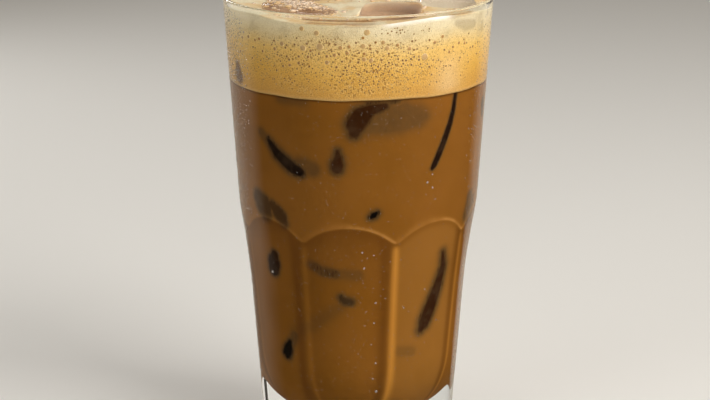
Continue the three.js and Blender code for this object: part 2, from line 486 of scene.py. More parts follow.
def glass_profile():
    side = body_radius(FOOT_ROUNDING)
    dome = [
        (RECESS_RADIUS * share, RECESS_DEPTH * (1 - share**2)) for share in np.linspace(0, 1, 9)
    ]
    foot = arc(side - FOOT_ROUNDING, FOOT_ROUNDING, FOOT_ROUNDING, -90, 0, 7)
    # The net is fine where the arches are and near the lip
    near_lip = heights(LIP_START + FINE_STEP, LIP_MIDDLE, FINE_STEP)[:-1]
    levels = heights(FOOT_ROUNDING, ARCHES_FROM, 3)[1:-1] + heights(ARCHES_FROM, ARCHES_TO, 0.7)
    levels += heights(ARCHES_TO, LIP_START, 5)[1:] + near_lip
    outside = [(body_radius(z), z) for z in levels]
    lip = arc(RIM_RADIUS - LIP_ROUNDING, LIP_MIDDLE, LIP_ROUNDING, 0, 180, 12)
    lowest = BASE_THICKNESS + INNER_ROUNDING
    inside = [(inner_radius(z), z) for z in reversed(heights(lowest, LIP_START, 4) + near_lip)]
    return dome + foot + outside + lip + inside + inner_bottom(0, 12)


def press_panels(points):
    radius = radius_of(points)
    z = np.maximum(points[:, 2], FOOT_ROUNDING)
    outside = radius > body_radius(z) - FOOT_ROUNDING - HAIR
    outside |= (points[:, 2] < HAIR) & (radius > RECESS_RADIUS + 10 * HAIR)
    outside &= points[:, 2] < LIP_START - 0.5
    scale = outer_radius(angle_of(points), z) / body_radius(z)
    points[outside, 0] *= scale[outside]
    points[outside, 1] *= scale[outside]
    return points


glass = turned("tumbler", glass_profile(), GLASS_STEPS)
write_points(glass, press_panels(read_points(glass)))
print("tumbler faces:", len(glass.data.polygons))

# %% [markdown]
# Light that runs down inside the glass from its lip leaves thin brown and tan bands there. They
# are painted into the glass's colour, as painted reflections and a thin painted shadow where the
# lip meets the wall. They come and go round the rim, so each is a stretch of angle and height
# with its own strength.

# %% Painted reflections and shadow under the lip
PAINTED_LIP_BANDS = (
    # from angle, to angle, from height, to height, strength
    (-25.0, 9.0, 152.1, 152.9, 0.9),
    (-24.0, 7.0, 150.9, 151.9, 0.55),
    (-9.0, 9.0, 150.2, 152.2, 0.5),
    (38.0, 57.0, 151.2, 152.8, 0.4),
    (95.0, 140.0, 151.8, 152.8, 0.6),
    (165.0, 215.0, 151.6, 152.8, 0.7),
    (240.0, 262.0, 151.2, 152.6, 0.4),
)
BAND_END = 4.0
BAND_SOFTNESS = 0.3


# How strongly each point takes the painted reflections and shadow under the lip
def painted_lip_shading(points):
    angle = np.degrees(angle_of(points))
    tone = np.zeros(len(points))
    for start, stop, low, high, strength in PAINTED_LIP_BANDS:
        turn = np.mod(angle - start, 360)
        along = within(turn, 0, stop - start, BAND_END)
        upright = within(points[:, 2], low, high, BAND_SOFTNESS)
        tone = np.maximum(tone, strength * along * upright)
    return tone


# %% Glass finish
def glass_finish():
    finish = Finish("clear pressed glass")
    waves = finish.noise(38.0, 1.0)
    clear = (0.965, 0.98, 0.975)
    return finish.surface(
        # The bands tint the clear glass brown: painted reflections and a thin painted shadow under the lip
        Base_Color=finish.mix(finish.attribute("lip"), clear, (0.36, 0.2, 0.08)),
        Roughness=0.02,
        IOR=1.5,
        Transmission_Weight=1.0,
        Normal=finish.bump(waves, 0.12, 0.002),
    )


keep_numbers(glass, lip=painted_lip_shading(read_points(glass)))
glass.data.materials.append(glass_finish())
glass.visible_shadow = False
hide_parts("glass")
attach(glass, "root")

# %% [markdown]
# Ice cubes lose their corners as they melt, and their faces swell a little in the middle. A cube
# that is subdivided, pulled part of the way to a sphere and smoothed has just that form. A cloudy
# displacement then leaves the soft hollows that running water melts into the faces.

# %% A melted ice cube
SPHERE_SHARE = 0.6
SMOOTHING_LEAST = 0.3
SMOOTHING_MORE = 1.2
HOLLOW_SIZE = 0.012
HOLLOW_DEPTH = 0.0012


def melted_cube(name, size, melt, cuts, seed):
    """A cube of size mm, with melt from 0, sharp, to 1, round"""
    deselect_all()
    bpy.ops.mesh.primitive_cube_add(size=1.0)
    cube = bpy.context.object
    cube.name = cube.data.name = name
    bpy.ops.object.mode_set(mode="EDIT")
    bpy.ops.mesh.select_all(action="SELECT")
    bpy.ops.mesh.subdivide(number_cuts=cuts)
    bpy.ops.transform.tosphere(value=SPHERE_SHARE * melt)
    rounds = round(cuts * (SMOOTHING_LEAST + SMOOTHING_MORE * melt))
    bpy.ops.mesh.vertices_smooth(factor=0.5, repeat=rounds)
    bpy.ops.object.mode_set(mode="OBJECT")
    points = read_points(cube)
    points *= np.array(size) / np.ptp(points, axis=0)
    write_points(cube, points)
    dimples = bpy.data.textures.new(name + " melt", "CLOUDS")
    dimples.noise_scale = HOLLOW_SIZE
    modifier = cube.modifiers.new("melt", "DISPLACE")
    modifier.texture = dimples
    modifier.strength = HOLLOW_DEPTH
    modifier.mid_level = 0.5
    modifier.texture_coords = "OBJECT"
    shift = bpy.data.objects.new(name + " shift", None)
    bpy.context.collection.objects.link(shift)
    shift.location = (0.05 * seed, 0.03 * seed, 0)
    modifier.texture_coords_object = shift
    bpy.ops.object.modifier_apply(modifier="melt")
    bpy.data.objects.remove(shift)
    bpy.ops.object.shade_smooth()
    return cube


# %% [markdown]
# Ice sunk in milky coffee shows only where it lies against the wall. There the milk film is thin
# and the dark ice shows through it, crisp where it touches and smoky where the film thickens. So
# each lump is described by the mark that it makes on the wall: a middle line of angles, heights
# and half widths, the thinnest film, how softly the film thickens round it, and a tone.

# %% Marks that the ice makes on the inner wall
ICE_MARKS = {
    # name: (points of angle, height and half width), film, softness, tone
    "oval": (
        [(-1.8, 116.6, 1.3), (-1.2, 119.2, 2.5), (1.2, 121.8, 2.6), (5.4, 123.9, 1.4), (12, 125.1, 0.6)],
        0.0, 1.7, 0.55),
    "brim streak": ([(4, 126.0, 0.3), (10, 126.1, 0.5), (18, 126.4, 0.2)], 0.3, 1.0, 0.5),
    "oval smear": (
        [(4.5, 119.6, 2.4), (12, 120.8, 3.6), (20, 121.2, 3.6), (27, 121.0, 2.4), (30, 120.9, 1.2)],
        0.72, 2.4, 0.85),
    "right streak": (
        [(48.6, 127.5, 0.6), (48, 121.5, 0.75), (46.5, 117.2, 0.9), (44.2, 112.8, 1.0),
         (41.3, 108.2, 1.0), (38.5, 104.2, 0.9), (37.3, 103, 0.6)],
        0.0, 0.5, 0.3),
    "left streak": (
        [(-46.0, 111.5, 0.3), (-44.7, 110.5, 0.7), (-41.4, 107.8, 1.2), (-36.7, 105.5, 1.5),
         (-32.2, 103.5, 1.6), (-28.6, 102.6, 1.2)],
        0.0, 1.5, 0.25),
    "left haze": ([(-50.5, 113.5, 0.9), (-46.5, 111, 1.1), (-42.5, 108.6, 0.9)], 0.7, 1.1, 0.35),
    "left smear": ([(-29, 105.2, 1.2), (-25, 104.8, 1.5), (-21.8, 103.8, 1.5)], 0.7, 1.6, 0.6),
    "tear": (
        [(-9.6, 110.4, 0.2), (-9.4, 108.1, 0.9), (-9.8, 105.9, 1.6), (-10, 104.7, 1.4)], 0.0, 1.4, 0.55),
    "spot": ([(6.2, 88.4, 0.3), (7.6, 89.1, 0.7), (9.0, 89.9, 0.3)], 0.0, 1.2, 0.0),
    "upper pair": ([(-57.5, 91, 2.0), (-54, 88.8, 3.3), (-52.5, 86.4, 2.2)], 0.12, 1.2, 0.75),
    "lower pair": (
        [(-47.2, 89.8, 0.9), (-44.1, 88, 1.6), (-41.6, 86.4, 1.8), (-39.5, 84.2, 0.9)], 0.1, 1.1, 0.65),
    "left oval": ([(-49.3, 72.2, 1.4), (-50.6, 69.4, 2.6), (-51.5, 67.2, 2.2)], 0.0, 1.0, 0.38),
    "combed smear": ([(-25.4, 71.4, 0.6), (-19.2, 69.6, 1.0), (-12, 68.9, 0.8)], 0.35, 1.2, 0.5),
    "combed tail": ([(-12, 68.8, 0.8), (-0.5, 68.7, 1.0)], 1.1, 1.6, 0.2),
    "small smear": ([(-9.5, 60.7, 0.4), (-7.2, 59.5, 0.8), (-4, 59.3, 0.5)], 0.1, 1.3, 0.2),
    "smoky trail": ([(-10, 57.5, 0.6), (-24, 51.5, 0.9), (-38, 46.5, 0.8)], 1.3, 2.2, 0.3),
    "black oval": ([(-42.8, 42.6, 0.5), (-44.3, 40.4, 1.4), (-46, 38.2, 1.7)], 0.0, 1.1, 0.0),
    "black haze": ([(-38.5, 45.4, 0.9), (-41.5, 42.6, 1.2)], 0.6, 1.3, 0.2),
    "long streak": (
        [(50, 73.0, 0.2), (51.6, 68.3, 0.8), (48.6, 61.5, 1.5), (44.1, 54.8, 2.0),
         (40.3, 49.8, 1.8), (37.9, 47.6, 0.7)],
        0.0, 1.8, 0.5),
    "faint smear": ([(23, 41.4, 0.8), (32, 40.5, 0.8)], 1.3, 1.6, 0.2),
    "right pair": ([(70.5, 89, 1.6), (71.7, 86, 3.0), (69.5, 83.5, 2.4)], 0.5, 1.2, 0.8),
    "right spot": ([(78.5, 119.3, 1.6), (80.2, 116.7, 1.6)], 0.1, 0.8, 0.7),
    "foam smear": ([(-37, 126.2, 0.7), (-30.5, 126.2, 1.0), (-25, 126, 0.5)], 0.9, 1.6, 0.6),
}
FOAM_MARKS = {
    "foam spot": ([(-66.5, 133.4, 1.3), (-65.9, 130.6, 2.2)], 0.0, 0.9, 0.7),
    "right face": ([(46, 148.6, 0.7), (52, 147.6, 1.5), (58, 147.4, 1.0)], 0.6, 0.6, 0.7),
    "right bead": ([(66, 147.0, 0.7), (66.5, 145.4, 0.9)], 0.65, 0.4, 0.7),
    "rim bead": ([(72, 150.4, 0.4), (72.5, 149.6, 0.5)], 0.5, 0.4, 0.7),
}
UNSEEN_MARKS = 14
MOST_FILM = 6.0
FILM_POWER = 1.5


def unseen_marks():
    """Marks on the far side, which the picture doesn't show, set by a rule"""
    marks = {}
    for i in range(UNSEEN_MARKS):
        angle = 100 + (i * 67) % 165
        height = 34 + (i * 41) % 86
        lean = (i * 29) % 14 - 7
        reach = 3 + (i * 5) % 8
        width = 0.8 + 0.35 * (i % 4)
        upper, lower = (angle - lean, height + reach, 0.4), (angle + lean, height - reach, 0.6)
        line = [upper, (angle, height, width), lower]
        marks[f"far {i}"] = (line, 0.3 * (i % 3), 0.7 + 0.3 * (i % 3), 0.2 * (i % 5))
    return marks


def film_thickness(angle, z, marks):
    """Film in mm between the wall and the ice at each place, and the tone of the nearest ice"""
    film = np.full(angle.shape, MOST_FILM)
    tone = np.zeros(angle.shape)
    for line, least, softness, its_tone in marks.values():
        distance = np.full(angle.shape, np.inf)
        middle = math.radians(line[len(line) // 2][0])
        turn = np.mod(angle - middle + math.pi, 2 * math.pi) - math.pi
        across = turn * inner_radius(z)
        for (a0, z0, w0), (a1, z1, w1) in zip(line, line[1:]):
            start = ((math.radians(a0) - middle) * inner_radius(z0), z0)
            end = ((math.radians(a1) - middle) * inner_radius(z1), z1)
            along = (end[0] - start[0], end[1] - start[1])
            length = along[0] ** 2 + along[1] ** 2
            share = ((across - start[0]) * along[0] + (z - start[1]) * along[1]) / length
            share = np.clip(share, 0, 1)
            off = np.hypot(across - start[0] - share * along[0], z - start[1] - share * along[1])
            distance = np.minimum(distance, off - (w0 + (w1 - w0) * share))
        its_film = least + (np.maximum(distance, 0) / softness) ** FILM_POWER
        tone = np.where(its_film < film, its_tone, tone)
        film = np.minimum(film, its_film)
    return film, tone


marks = {**ICE_MARKS, **unseen_marks()}
print("marks of sunk ice:", len(marks))

# %% [markdown]
# Behind each mark is a lump of ice, a melted cube set just inside the wall and turned a little.
# Ice that rests on glass melts to fit it, so the lump's front is moved to leave just the film
# that the mark describes. All of it is sunk, and only the marks show.

# %% Sunk ice
ICE_SIZES = ((21, 18, 22), (19, 20, 24), (22, 17, 20), (18, 18, 19))
WALL_REACH = 0.07
FRONT_DEPTH = 3.5
SUNK_DEPTH = 1.0
SUNK_CUTS = 11
LUMP_INSET = 0.6
TINY = 1e-6


def joined(name, pieces):
    deselect_all()
    for piece in pieces:
        piece.select_set(True)
    bpy.context.view_layer.objects.active = pieces[0]
    bpy.ops.object.join()
    pieces[0].name = pieces[0].data.name = name
    return pieces[0]


def set_behind_mark(points, line, depth, lean):
    """Moves a lump behind the middle of its mark and fits its front to the film"""
    angle, height, _ = line[len(line) // 2]
    angle = math.radians(angle)
    rise = line[0][1] - line[-1][1]
    run = math.radians(line[-1][0] - line[0][0]) * inner_radius(height)
    tilt = math.atan2(run, rise) if rise > abs(run) else math.radians(lean)
    turn = Matrix.Rotation(angle, 3, "Z") @ Matrix.Rotation(-tilt, 3, "Y")
    points = points @ np.array(turn).T
    outward = np.array([math.sin(angle), -math.cos(angle), 0.0])
    height = min(height, COFFEE_LEVEL - SUNK_DEPTH - points[:, 2].max())
    points += outward * (inner_radius(height) - depth / 2 - LUMP_INSET) + np.array([0, 0, height])
    clearance = inner_radius(points[:, 2]) - radius_of(points)
    film = np.minimum(film_thickness(angle_of(points), points[:, 2], marks)[0], FRONT_DEPTH)
    clearance = np.where(clearance < FRONT_DEPTH, film, clearance)
    scale = (inner_radius(points[:, 2]) - clearance) / np.maximum(radius_of(points), TINY)
    points[:, :2] *= scale[:, None]
    return points


def add_sunk_ice():
    lumps = []
    for i, (line, *_) in enumerate(marks.values()):
        size = ICE_SIZES[i % len(ICE_SIZES)]
        lump = melted_cube(f"sunk ice {i}", size, 0.25 + 0.1 * (i % 4), SUNK_CUTS, i)
        write_points(lump, set_behind_mark(read_points(lump), line, size[1], 13 * (i % 5) - 26))
        lumps.append(lump)
    return joined("sunk_ice", lumps)


sunk_ice = add_sunk_ice()
print("sunk ice faces:", len(sunk_ice.data.polygons))

# %% Finish of ice in coffee
def sunk_ice_finish():
    finish = Finish("ice seen in coffee")
    cloud = finish.noise(160.0, 3.0)
    colour = finish.ramp(cloud, [(0.35, linear(34, 19, 9)), (0.75, linear(78, 44, 22))])
    return finish.surface(Base_Color=colour, Roughness=0.12, IOR=1.31)


sunk_ice.data.materials.append(sunk_ice_finish())
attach(sunk_ice, "root")

# %% [markdown]
# The coffee fills the hollow, so it is turned from the same wall. It reaches just into the glass:
# a gap would show as a silvery sheet of air. Where a mark or an arch is near, its net is made
# finer. Each point then keeps seven numbers: the film and tone of the ice there, and five that
# are painted into its colour as light and shade: the painted light that a rib and an arch gather
# on it, the painted shade of the scoop under an arch, the painted glow on the panel that faces
# the key light, and a painted shadow just under the foam's edge. Those of rib, arch, shade and
# glow come from the outer form, since thick glass bends the light as that form tells it to.

# %% Profile of the coffee
COFFEE_STEPS = 330
COFFEE_STEP = 0.66
BRIM_STEP = 0.2
BRIM_DEPTH = 3.0
FOAM_OVERLAP = 0.1


def coffee_profile():
    lowest = BASE_THICKNESS + INNER_ROUNDING
    top = FOAM_LEVEL + FOAM_OVERLAP
    brim = FOAM_LEVEL - BRIM_DEPTH
    levels = heights(lowest, brim, COFFEE_STEP) + heights(brim, top, BRIM_STEP)[1:]
    side = [(inner_radius(z) + WALL_REACH, z) for z in reversed(levels)]
    bottom = inner_bottom(-WALL_REACH, 16)
    inner_top = [(0, top), (side[0][0] * 0.5, top)]
    return inner_top + side + bottom


# %% Where the ribs, the arches and the foam's edge are
RIB_BEND = 0.042
SLOPE_STEP = 0.05
LEAST_SLOPE = 0.02
EDGE_DIP = 0.25
# Waves round the glass, height in mm and phase, that the foam's lower edge wavers with
EDGE_WAVES = ((3, 0.16, 0.6), (7, 0.1, 0.0), (17, 0.06, 1.0))


def distance_under_arch(angle, z):
    """Distance in mm from the arch's crease, positive on the scooped panel below it"""

    def scoop(angle, z):
        return body_radius(z) - panelled_radius(angle, z)

    here = scoop(angle, z)
    along = (scoop(angle, z + SLOPE_STEP) - scoop(angle, z - SLOPE_STEP)) / (2 * SLOPE_STEP)
    turn = SLOPE_STEP / body_radius(z)
    across = (scoop(angle + turn, z) - scoop(angle - turn, z)) / (2 * SLOPE_STEP)
    return here / np.maximum(np.hypot(along, across), LEAST_SLOPE)


def distance_from_rib(angle, z):
    """Distance in mm from the nearest rib, positive to its right"""
    turn = np.mod(angle - FIRST_RIB + PANEL_ANGLE / 2, PANEL_ANGLE) - PANEL_ANGLE / 2
    return turn * body_radius(z)


def foam_edge(angle):
    """Height of the foam's lower edge, which wavers a little round the glass"""
    return FOAM_LEVEL - EDGE_DIP + sum(size * np.sin(n * angle + phase) for n, size, phase in EDGE_WAVES)


def bent(angle):
    """Angle of the outer form that shows in front of a place on the coffee"""
    return angle - RIB_BEND * np.sin(2 * angle)


def side_of_panel(angle):
    """-1 at a panel's left rib, 0 at its middle and 1 at its right rib"""
    return (np.mod(angle - FIRST_RIB, PANEL_ANGLE) / PANEL_ANGLE - 0.5) * 2


# %% A finer net where it is needed
def refine(piece, wanted):
    """Cuts the faces that have a wanted point into four"""
    deselect_all()
    bpy.context.view_layer.objects.active = piece
    piece.select_set(True)
    bpy.ops.object.mode_set(mode="EDIT")
    bpy.ops.mesh.select_mode(type="FACE")
    bpy.ops.mesh.select_all(action="DESELECT")
    bpy.ops.object.mode_set(mode="OBJECT")
    chosen = [any(wanted[i] for i in polygon.vertices) for polygon in piece.data.polygons]
    piece.data.polygons.foreach_set("select", chosen)
    bpy.ops.object.mode_set(mode="EDIT")
    bpy.ops.mesh.subdivide(number_cuts=1)
    bpy.ops.mesh.select_mode(type="VERT")
    bpy.ops.object.mode_set(mode="OBJECT")


# %% Numbers for the coffee's finish, its painted light and shade among them
GLASS_SHIFT = 0.65
LIGHT_SIDE = math.radians(35.0)
LINE_WIDTH = 0.24
RIB_LIGHT_MIDDLE = math.radians(28)
RIB_LIGHT_SPREAD = math.radians(36)
PANEL_FADE = 3.0
SHADE_DEPTH = 9.0
SHADE_BESIDE_RIB = 3.2
SHADE_WIDTH = 2.0
GLOW_EDGE = 0.1
FOAM_SHADOW_OFFSET = 0.25
FOAM_SHADOW_WIDTH = 0.4


def keep_coffee_numbers(piece):
    points = read_points(piece)
    angle, z = angle_of(points), points[:, 2]
    film, tone = film_thickness(angle, z, marks)
    under_arch = distance_under_arch(bent(angle), z + GLASS_SHIFT)
    from_rib = distance_from_rib(bent(angle), z + GLASS_SHIFT)
    facing = smooth_step((np.cos(angle - LIGHT_SIDE) - 0.3) / 0.5)
    on_panel = smooth_step(under_arch / PANEL_FADE)
    # A rib's painted light line is widest in front and bright only near the key light
    rib_light = bell(angle - RIB_LIGHT_MIDDLE, RIB_LIGHT_SPREAD)
    rib = bell(from_rib, 0.55 + 0.6 * np.cos(angle)) * (0.05 + 0.85 * rib_light)
    # An arch's painted light line is crisp below its crease, and blurred and weaker above its left flank
    right_flank = smooth_step((side_of_panel(bent(angle)) + 0.3) / 0.7)
    blur = np.where(under_arch > 0, LINE_WIDTH, LINE_WIDTH * (6.0 - 3.6 * right_flank))
    arch = bell(under_arch, blur) * (0.3 + 0.7 * facing) * (0.35 + 0.65 * right_flank)
    # Painted shade lies under an arch and left of a rib, and hardly on the panel that faces the key light
    scoop = smooth_step(under_arch / 0.9) * np.exp(-np.maximum(under_arch, 0) / SHADE_DEPTH)
    beside = bell(from_rib + SHADE_BESIDE_RIB, SHADE_WIDTH) * on_panel
    lit_panel = within(angle, FIRST_RIB, FIRST_RIB + PANEL_ANGLE, GLOW_EDGE)
    shade = np.clip(scoop + 0.7 * beside, 0, 1) * (1 - 0.75 * lit_panel)
    # A painted shadow: a thin dark line just under the foam's lower edge
    brim = bell(foam_edge(angle) - FOAM_SHADOW_OFFSET - z, FOAM_SHADOW_WIDTH)
    keep_numbers(piece, film=film, tone=tone, arch=arch, shade=shade, brim=brim)
    # The rib's painted light line and the painted glow of the panel that faces the key light
    keep_numbers(piece, rib=on_panel * rib, glow=on_panel * lit_panel)


# %% Coffee
NEAR_MARK = 2.0
NEAR_ARCH = 1.2

coffee = turned("milky_coffee", coffee_profile(), COFFEE_STEPS)
points = read_points(coffee)
near_mark = film_thickness(angle_of(points), points[:, 2], marks)[0] < NEAR_MARK
from_arch = distance_under_arch(bent(angle_of(points)), points[:, 2] + GLASS_SHIFT)
refine(coffee, near_mark | (np.abs(from_arch) < NEAR_ARCH))
keep_coffee_numbers(coffee)
print("coffee faces:", len(coffee.data.polygons))

# %% Coffee finish
def coffee_finish():
    finish = Finish("milky coffee")
    stretch = {0: finish.place, 1: (1, 1, 0.2)}
    upright = finish.node("ShaderNodeVectorMath", {"operation": "MULTIPLY"}, stretch)
    hairs = finish.noise(1500.0, 2.0, 0.6, upright) - 0.5
    wisps = finish.noise(420.0, 3.0, 0.6) - 0.5
    film = finish.attribute("film")
    hairy = film.above(0.1, 0.35) * (1.0 - film.above(0.45, 0.8))
    film = film + wisps * 0.5 * film.above(0.0, 0.5) + hairs * 1.7 * hairy
    film = film.math("MAXIMUM", film, 0.0)
    thin = film * -1.5
    cover = 1.0 - thin.math("EXPONENT", thin)
    milk = finish.noise(22.0, 3.0, 0.55)
    plain = finish.ramp(milk, [(0.3, linear(129, 82, 20)), (0.7, linear(146, 95, 37))])
    core = finish.ramp(
        finish.attribute("tone"),
        [
            (0.0, linear(10, 6, 3)),
            (0.35, linear(34, 18, 7)),
            (0.6, linear(58, 30, 6)),
            (0.85, linear(66, 46, 30)),
        ],
    )
    # Painted light: the panel that faces the key light glows a little lighter
    plain = finish.tinted(plain, (finish.attribute("glow") * 0.18, (196, 142, 70)))
    smoke = finish.noise(260.0, 3.0, 0.55).above(0.42, 0.72)
    smoke = smoke * finish.attribute("tone").above(0.05, 0.3)
    core = finish.tinted(core, (smoke * 0.3, (84, 64, 44)))
    # The arch's painted light line is uneven along its length
    uneven = finish.noise(300.0, 2.0).above(0.3, 0.6) * 0.25 + 0.32
    colour = finish.tinted(
        finish.mix(cover, core, plain),
        (cover * (1.0 - cover) * 1.6, (80, 70, 46)),
        # Painted shade under the arches and left of the ribs
        (finish.attribute("shade") * 0.55, (84, 46, 8)),
        # Painted light lines along the ribs
        (finish.attribute("rib") * 0.92, (204, 140, 56)),
        # Painted light lines along the arches
        (finish.attribute("arch") * uneven, (212, 154, 80)),
        # Painted shadow just under the foam's edge
        (finish.attribute("brim") * 0.6, (60, 36, 12)),
    )
    return finish.surface(Base_Color=colour, Roughness=0.5, IOR=1.35, Specular_IOR_Level=0.06)


coffee.data.materials.append(coffee_finish())
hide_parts("coffee")
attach(coffee, "root")

# %% [markdown]
# The foam cap is coffee foam about 24 mm deep. Seen through the glass it is golden with pin
# bubbles, and it is paler on top where the bubbles are larger. It is turned like the coffee, its
# top is raised in soft swells, and a socket is pressed into it under each cube of ice. Its points
# keep numbers too: where pins crowd, where ice lies near, where the top is, where its sockets
# take a painted shade, tinted pinkish grey like the ice above, where cream pales it, and where
# painted highlights pale it under the right cube and along its upper edge at the wall.

# %% The standing cubes and their sockets
STANDING_ICE = {
    "ice_front": ((10.5, -21.5, 141.2), (20.5, 22, 24), (5, -3, -8)),
    "ice_left": ((-19.5, -14.5, 141), (21, 20, 24), (-4, 6, 34)),
    "ice_right": ((27.2, 3.4, 141.6), (20, 22, 25), (3, 5, 8)),
    "ice_back": ((3.5, 26, 140.2), (22, 21, 24), (-6, 4, -12)),
    "ice_back_left": ((-23, 13, 140), (20, 21, 23), (5, 4, 24)),
}
SOCKET_DEPTH = {"ice_front": 9.0, "ice_left": 1.2, "ice_right": 3.0, "ice_back": 4.0, "ice_back_left": 4.0}
# How strongly each socket takes its painted shade under the ice, tinted pinkish grey like the ice
SOCKET_SHADE = {"ice_front": 1.0, "ice_left": 0.6, "ice_right": 0.25, "ice_back": 0.5, "ice_back_left": 0.5}
SOCKET_EDGE = 0.5


def turn_of(degrees):
    x, y, z = (Matrix.Rotation(math.radians(t), 3, axis) for t, axis in zip(degrees, "XYZ"))
    return np.array(x @ y @ z)


def socket_share(points, shares):
    """Each cube's share inside its outline seen from above, and 0 outside it"""
    share = np.zeros(len(points))
    for node, (place, size, degrees) in STANDING_ICE.items():
        local = (points - np.array(place)) @ turn_of(degrees)
        reach = (np.abs(local[:, 0]) / (size[0] / 2)) ** 4 + (np.abs(local[:, 1]) / (size[1] / 2)) ** 4
        share = np.maximum(share, shares[node] * smooth_step((1 - reach) / SOCKET_EDGE))
    return share


# %% Form of the foam
FOAM_STEPS = 420
FOAM_REACH = 0.14
WALL_RISE = 0.5
WALL_RISE_WIDTH = 3.5
SWELLS = (
    # waves along x and y, phase, height in mm
    ((0.11, 0.05), 0.4, 0.35),
    ((-0.07, 0.13), 1.9, 0.3),
    ((0.21, -0.17), 3.1, 0.18),
    ((0.05, 0.31), 5.2, 0.12),
)


def foam_height(x, y):
    to_wall = inner_radius(FOAM_TOP) - np.hypot(x, y)
    height = FOAM_TOP + WALL_RISE * np.exp(-to_wall / WALL_RISE_WIDTH)
    for (along_x, along_y), phase, size in SWELLS:
        height = height + size * np.sin(along_x * x + along_y * y + phase)
    return height


def foam_profile():
    wall = inner_radius(FOAM_TOP) + FOAM_REACH
    top = [(wall * share, FOAM_TOP) for share in np.linspace(0, 1, 64)]
    levels = heights(FOAM_LEVEL, FOAM_TOP, 0.5)[:-1]
    side = [(inner_radius(z) + FOAM_REACH, z) for z in reversed(levels)]
    bottom = [(side[-1][0] - 1.5, FOAM_LEVEL), (0, FOAM_LEVEL)]
    return top + side + bottom


def shape_foam(points):
    angle = angle_of(points)
    on_top = points[:, 2] > FOAM_TOP - HAIR
    share = (points[:, 2] - FOAM_LEVEL) / (FOAM_TOP - FOAM_LEVEL)
    edge = foam_edge(angle)
    points[:, 2] = edge + (foam_height(points[:, 0], points[:, 1]) - edge) * share
    points[on_top, 2] -= socket_share(points[on_top], SOCKET_DEPTH)
    return points


# %% Numbers for the foam's finish
CROWD_MIDDLE = math.radians(-4)
CROWD_WIDTH = math.radians(34)
CROWD_LEAST = 0.18
CREAM_MIDDLE = math.radians(43)
CREAM_WIDTH = math.radians(8)
CREAM_FOOT, CREAM_FOOT_FADE = 126, 4
CREAM_TOP, CREAM_TOP_FADE = 143, 8
EDGE_LINE = 0.7
ICE_HAZE = 0.6
SOCKET_GAIN = 1.6
# Degrees round the wall where a painted highlight pales the foam's upper edge, and how soft the ends are
GLEAM_FROM, GLEAM_TO, GLEAM_END = 8, 46, 6
GLEAM_START, GLEAM_RISE, GLEAM_DEPTH = 149.4, 1.2, 0.2


def crowd_of_pins(angle):
    """How crowded the pin bubbles are round the wall: a dense stretch in front, patches elsewhere"""
    front = bell(angle - CROWD_MIDDLE, CROWD_WIDTH)
    behind = smooth_step((np.abs(angle) - 1.2) / 0.6) * (0.5 + 0.4 * np.sin(5 * angle + 1))
    return np.clip(CROWD_LEAST + front + behind, 0, 1)


def keep_foam_numbers(piece, points):
    angle, z = angle_of(points), points[:, 2]
    on_top = z > FOAM_TOP - HAIR
    # The foam under the right cube is paled as a painted highlight, so that the cube shows bright
    pale = {node: float(node == "ice_right") for node in STANDING_ICE}
    cream = bell(angle - CREAM_MIDDLE, CREAM_WIDTH) * smooth_step((CREAM_TOP - z) / CREAM_TOP_FADE)
    gleam = within(np.degrees(angle), GLEAM_FROM, GLEAM_TO, GLEAM_END)
    gleam *= radius_of(points) > inner_radius(z) - GLEAM_DEPTH
    keep_numbers(
        piece,
        crowd=crowd_of_pins(angle),
        ice=np.exp(-film_thickness(angle, z, FOAM_MARKS)[0] / ICE_HAZE),
        top=on_top.astype(float),
        socket=on_top * smooth_step(socket_share(points, SOCKET_SHADE) * SOCKET_GAIN),
        # A painted shade in each socket, since the standing ice casts no shadow
        pale=on_top * socket_share(points, pale),
        edge=bell(z - FOAM_LEVEL, EDGE_LINE),
        cream=cream * smooth_step((z - CREAM_FOOT) / CREAM_FOOT_FADE),
        gleam=gleam * smooth_step((z - GLEAM_START) / GLEAM_RISE),
    )


# %% Foam
foam = turned("foam_cap", foam_profile(), FOAM_STEPS)
points = read_points(foam)
write_points(foam, shape_foam(points.copy()))
keep_foam_numbers(foam, points)
print("foam faces:", len(foam.data.polygons))

